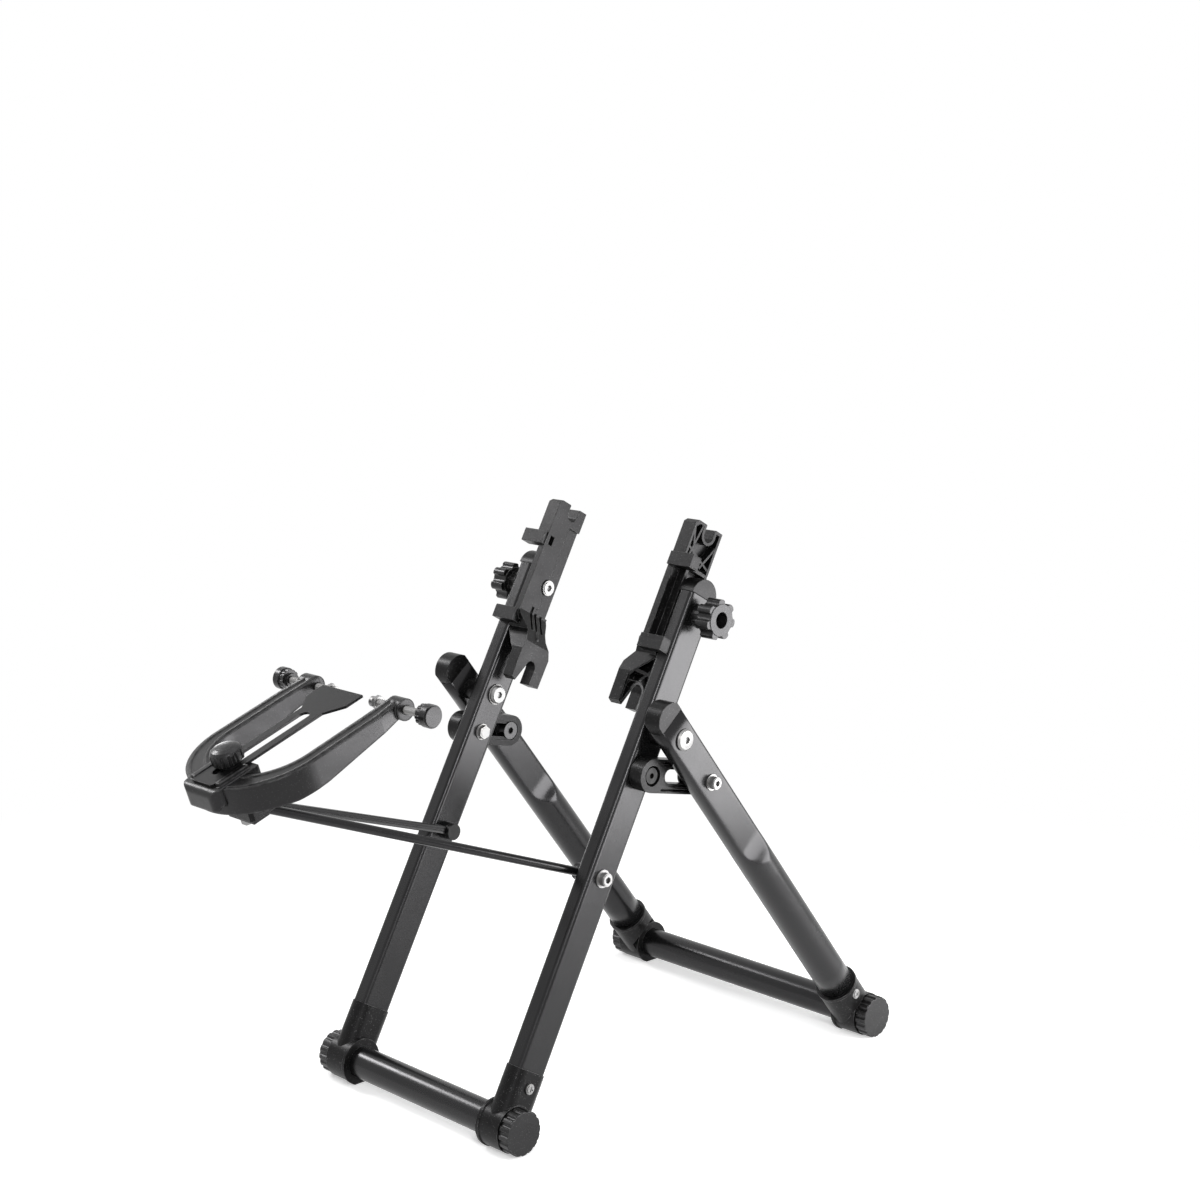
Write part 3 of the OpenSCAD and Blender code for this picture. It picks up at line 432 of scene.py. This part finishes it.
def threaded_rod(side, material):
    sign = 1 if side == "right" else -1
    axle = Vector(joint(side + "_feeler_spin")["pos_m"])
    low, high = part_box(side + "_feeler_screw")
    x0, x1 = sorted((abs(low[0]), abs(high[0])))
    rows = int((x1 - x0) / THREAD_PITCH * THREAD_ROWS)
    rings = []
    for r in range(rows + 1):
        x = x0 + (x1 - x0) * r / rows
        ends = smooth(min(x - x0, x1 - x), 0, THREAD_PITCH)
        points = []
        for a in ring_angles(THREAD_POINTS):
            turn = (x / THREAD_PITCH - a / (2 * math.pi)) % 1.0
            rise = 1 - abs(2 * turn - 1)
            rise = min(max(THREAD_STEEP * rise - THREAD_SINK, 0.0), 1.0) * ends
            points.append((a, THREAD_ROOT + (THREAD_CREST - THREAD_ROOT) * rise))
        rings.append(x_ring(sign * x, axle, points))
    rod = loft(side + "_feeler_rod", rings, material)
    corner = NUT_ACROSS / math.sqrt(3)
    chamfer = NUT_ACROSS / 2 / corner
    rings = []
    for x, size in ((NUT_AT[0], chamfer), (NUT_AT[0] + NUT_CHAMFER, 1),
                    (NUT_AT[1] - NUT_CHAMFER, 1), (NUT_AT[1], chamfer)):
        points = []
        for a in ring_angles(NUT_POINTS):
            flat = math.cos(math.pi / 6) / math.cos(a % (math.pi / 3) - math.pi / 6)
            points.append((a + NUT_TURN, corner * min(flat, size)))
        rings.append(x_ring(sign * x, axle, points))
    nut = loft(side + "_feeler_nut", rings, material)
    for poly in nut.data.polygons:
        poly.use_smooth = False
    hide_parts(side + "_feeler_screw")
    for piece in (rod, nut):
        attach(piece, side + "_feeler_body")


# dark bands where the end caps meet their tubes: painted shade of the gap between cap and tube
UPRIGHT_SEAM = 0.424
GAP_SHADE_HALF = 0.0003
GAP_SHADE_PROUD = 0.00006
GAP_SHADE_POINTS = 48
TUBE_HALF = (0.0075, 0.0145)
TUBE_ROUND = 0.0036


def upright_outline(a):
    """Point at angle a on a rectangular tube with round corners."""
    x, y = math.cos(a), math.sin(a)
    corner = TUBE_ROUND + GAP_SHADE_PROUD
    return (math.copysign(TUBE_HALF[0] - TUBE_ROUND, x) + corner * x,
            math.copysign(TUBE_HALF[1] - TUBE_ROUND, y) + corner * y)


def leg_outline(a):
    """Point at angle a on the pressed part of a rear leg."""
    flat = LEG_FLAT + GAP_SHADE_PROUD
    reach = LEG_R + GAP_SHADE_PROUD
    return max(-flat, min(flat, reach * math.cos(a))), reach * math.sin(a)


def seam_rings(line, box, at, outline):
    """Two rings of an outline's points, close together at a distance along a tube's line."""
    bar, along, across, _ = line
    low, high = box
    centre = Vector(((low[0] + high[0]) / 2, bar.y, bar.z)) + along * at
    return [[centre + along * d + Vector((x, 0, 0)) + across * y for x, y in outline]
            for d in (-GAP_SHADE_HALF, GAP_SHADE_HALF)]


# dark bands at the cap joints: painted shade of the gap between cap and tube
def cap_seams(side, material):
    line = tube_line("front_right_end_knob_turn")
    outline = [upright_outline(a) for a in ring_angles(GAP_SHADE_POINTS)]
    rings = seam_rings(line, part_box(side + "_upright"), UPRIGHT_SEAM, outline)
    seam = loft(side + "_upright_seam", rings, material)
    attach(seam, "stand")
    line = tube_line("rear_right_end_knob_turn")
    *_, length = line
    outline = [leg_outline(a) for a in ring_angles(LEG_POINTS)]
    rings = seam_rings(line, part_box(side + "_rear_leg"), length + LEG_HEAD, outline)
    leg_seam = loft(side + "_leg_seam", rings, material)
    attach(leg_seam, "rear_frame")


def make_pieces(materials):
    for side in ("right", "left"):
        pressed_leg(side, materials["powder_coat"])
        threaded_rod(side, materials["bright_zinc"])
        cap_seams(side, materials["seam"])


# ---- studio ----
def area_light(name, at, target, size, radiance):
    data = bpy.data.lights.new(name, "AREA")
    data.shape = "RECTANGLE"
    data.size, data.size_y = size
    data.energy = radiance * math.pi * size[0] * size[1]
    obj = bpy.data.objects.new(name, data)
    obj.location = at
    obj.rotation_euler = (Vector(target) - Vector(at)).to_track_quat("-Z", "Y").to_euler()
    obj.visible_camera = False
    bpy.context.collection.objects.link(obj)


def background_rays(tree):
    """1 for the rays that show the background: seen, mirrored or passed through."""
    rays = tree.nodes.new("ShaderNodeLightPath")
    total = rays.outputs["Is Camera Ray"]
    for kind in ("Is Glossy Ray", "Is Transmission Ray"):
        most = tree.nodes.new("ShaderNodeMath")
        most.operation = "MAXIMUM"
        tree.links.new(total, most.inputs[0])
        tree.links.new(rays.outputs[kind], most.inputs[1])
        total = most.outputs[0]
    return total


def floor_material():
    """Pale matt floor that keeps the shadow; background rays see it turn white further out."""
    n = Nodes("floor")
    away = n.add("ShaderNodeVectorMath", operation="LENGTH")
    n.put(n.coords, away.inputs[0])
    far = n.add("ShaderNodeMapRange", interpolation_type="SMOOTHSTEP")
    for key, v in zip(("Value", "From Min", "From Max"), (away.outputs["Value"], *FLOOR_FADE)):
        n.put(v, far.inputs[key])
    seen = background_rays(n.tree)
    colour = n.blend(n.span(n.noise(3), *WIDE_BAND), *(grey(v) for v in FLOOR_GREYS))
    matt = n.add("ShaderNodeBsdfDiffuse")
    n.put(colour, matt.inputs["Color"])
    n.put(n.bump(n.noise(400, detail=2), 0.02, 0.0001), matt.inputs["Normal"])
    lift = n.add("ShaderNodeEmission")
    n.put(n.math("MULTIPLY", seen, FLOOR_LIFT), lift.inputs["Strength"])
    both = n.add("ShaderNodeAddShader")
    n.put(matt.outputs[0], both.inputs[0])
    n.put(lift.outputs[0], both.inputs[1])
    white = n.add("ShaderNodeEmission")
    mix = n.add("ShaderNodeMixShader")
    n.put(n.math("MULTIPLY", seen, far.outputs["Result"]), mix.inputs["Fac"])
    n.put(both.outputs[0], mix.inputs[1])
    n.put(white.outputs[0], mix.inputs[2])
    n.put(mix.outputs[0], n.add("ShaderNodeOutputMaterial").inputs["Surface"])
    return n.mat


def make_floor():
    mesh = bpy.data.meshes.new("floor")
    bm = bmesh.new()
    bmesh.ops.create_circle(bm, cap_ends=True, segments=96, radius=FLOOR_RADIUS)
    bm.to_mesh(mesh)
    bm.free()
    floor = bpy.data.objects.new("floor", mesh)
    bpy.context.collection.objects.link(floor)
    mesh.materials.append(floor_material())


def make_studio():
    bpy.context.scene.view_settings.view_transform = "Standard"
    world = bpy.data.worlds.new("studio")
    bpy.context.scene.world = world
    world.use_nodes = True
    tree = world.node_tree
    tree.nodes.clear()
    soft = tree.nodes.new("ShaderNodeBackground")
    soft.inputs["Strength"].default_value = WORLD_LEVEL
    white = tree.nodes.new("ShaderNodeBackground")
    for shader in (soft, white):
        shader.inputs["Color"].default_value = (1, 1, 1, 1)
    mix = tree.nodes.new("ShaderNodeMixShader")
    out = tree.nodes.new("ShaderNodeOutputWorld")
    tree.links.new(background_rays(tree), mix.inputs["Fac"])
    tree.links.new(soft.outputs[0], mix.inputs[1])
    tree.links.new(white.outputs[0], mix.inputs[2])
    tree.links.new(mix.outputs[0], out.inputs["Surface"])
    make_floor()
    for light in LIGHTS:
        area_light(*light)


# ---- build ----
make_camera()
make_studio()
MATERIALS = make_materials()
paint_nodes(MATERIALS)
make_pieces(MATERIALS)
